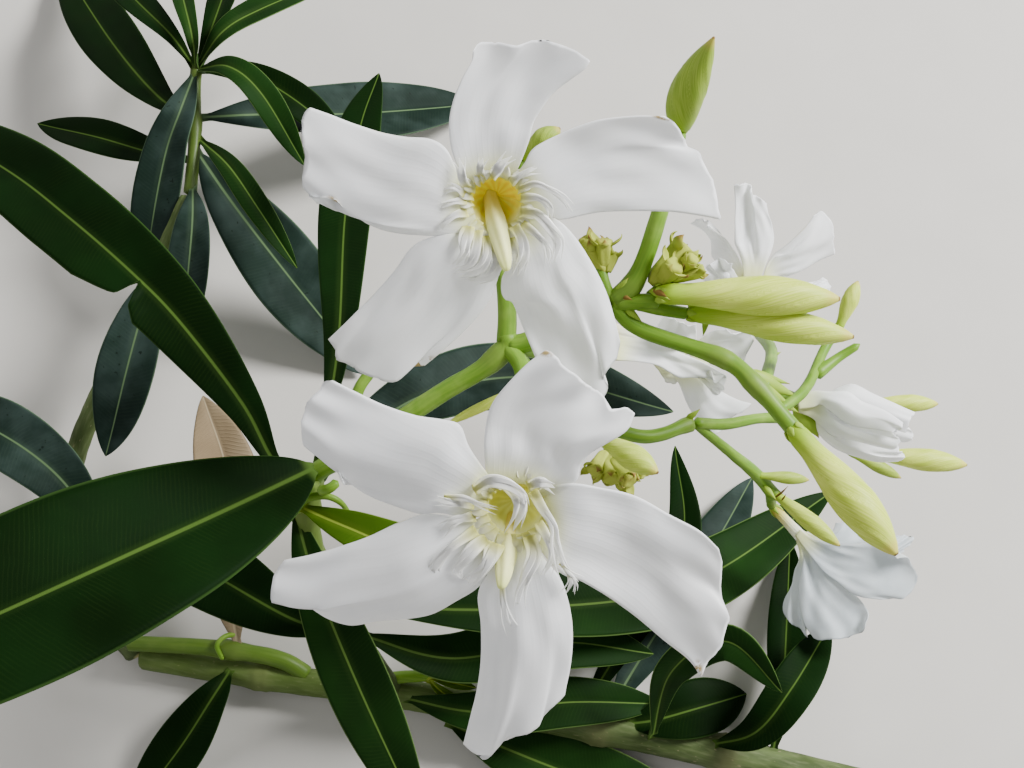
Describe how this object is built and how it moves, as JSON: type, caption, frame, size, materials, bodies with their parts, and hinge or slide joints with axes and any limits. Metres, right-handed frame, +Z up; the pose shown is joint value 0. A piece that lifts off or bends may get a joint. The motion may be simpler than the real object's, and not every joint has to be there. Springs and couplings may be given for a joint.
{
  "type": "flowering oleander branch",
  "caption": "Cut flowering shrub branch lying on the ground, with long lance-shaped leaves, a leafy side shoot, and stalks of white pinwheel blooms and slender buds.",
  "frame": {"origin": "centre of the bounding box, at the level of the ground the branch lies on", "axes": "+X along the main stem's run, from the leafy end on the left to the cut foot on the right; +Z up"},
  "size_m": [0.2259, 0.2154, 0.1461],
  "materials": {
    "bark": "smooth thin olive grey-green bark with raised leaf joints",
    "green_stem": "smooth bright green young stems, slightly waxy",
    "petal": "soft matt white petals with a yellow-green throat",
    "bud": "smooth pale cream-green rolled petals",
    "spent_cup": "dull yellow-green spent flower cups",
    "leaf_dark": "leathery very dark green leaf with a pale midrib",
    "leaf_green": "leathery mid green leaf with a pale midrib",
    "leaf_blue_green": "leathery blue-green leaf with a dusty sheen",
    "leaf_young": "thin glossy yellow-green young leaf",
    "leaf_dry": "dry tan withered leaf"
  },
  "bodies": {
    "root": {"main_stem": "bark", "side_shoot": "bark", "side_twig": "green_stem", "leafy_tip": "leaf_green", "flowering_shoot": "bark", "flower_stalk": "green_stem", "stalk_upper_bloom": "green_stem", "stalk_lower_bloom": "green_stem", "upper_spray": "green_stem", "long_stalk": "green_stem", "lower_spray": "green_stem", "bloom_upper": "petal", "bloom_lower": "petal", "stalk_bloom_behind": "green_stem", "bloom_behind": "petal", "stalk_bloom_side": "green_stem", "bloom_side": "petal", "stalk_bloom_opening": "green_stem", "bloom_opening": "petal", "bloom_fading": "petal", "stalk_thin_bud": "green_stem", "bud_high": "bud", "bud_long_upper": "bud", "bud_long_lower": "bud", "bud_plump": "bud", "bud_lower": "bud", "bud_right_upper": "bud", "bud_right_lower": "bud", "bud_thin": "bud", "bud_front": "bud", "bud_back": "bud", "spent_cups_upper": "spent_cup", "spent_cups_right": "spent_cup", "spent_cups_lower": "spent_cup", "leaf_near": "leaf_dark", "leaf_arching": "leaf_dark", "leaf_upright": "leaf_dark", "leaf_hanging_front": "leaf_green", "leaf_young": "leaf_young", "leaf_behind_stalk": "leaf_blue_green", "leaf_wide_right": "leaf_green", "leaf_short_right": "leaf_green", "leaf_low_front": "leaf_green", "leaf_thin_right": "leaf_green", "leaf_dark_right": "leaf_dark", "leaf_curved_right": "leaf_dark", "leaf_stem_right": "leaf_dark", "leaf_up_behind": "leaf_dark", "leaf_up_tilted": "leaf_blue_green", "leaf_bottom": "leaf_green", "leaf_left_wide": "leaf_blue_green", "leaf_left_narrow": "leaf_green", "leaf_left_hanging": "leaf_blue_green", "leaf_left_low": "leaf_blue_green", "leaf_left_far": "leaf_dark", "leaf_left_across": "leaf_blue_green", "leaf_left_down": "leaf_blue_green", "leaf_dry": "leaf_dry", "leaf_low_dark": "leaf_dark", "leaf_low_left": "leaf_dark"}
  },
  "joints": []
}
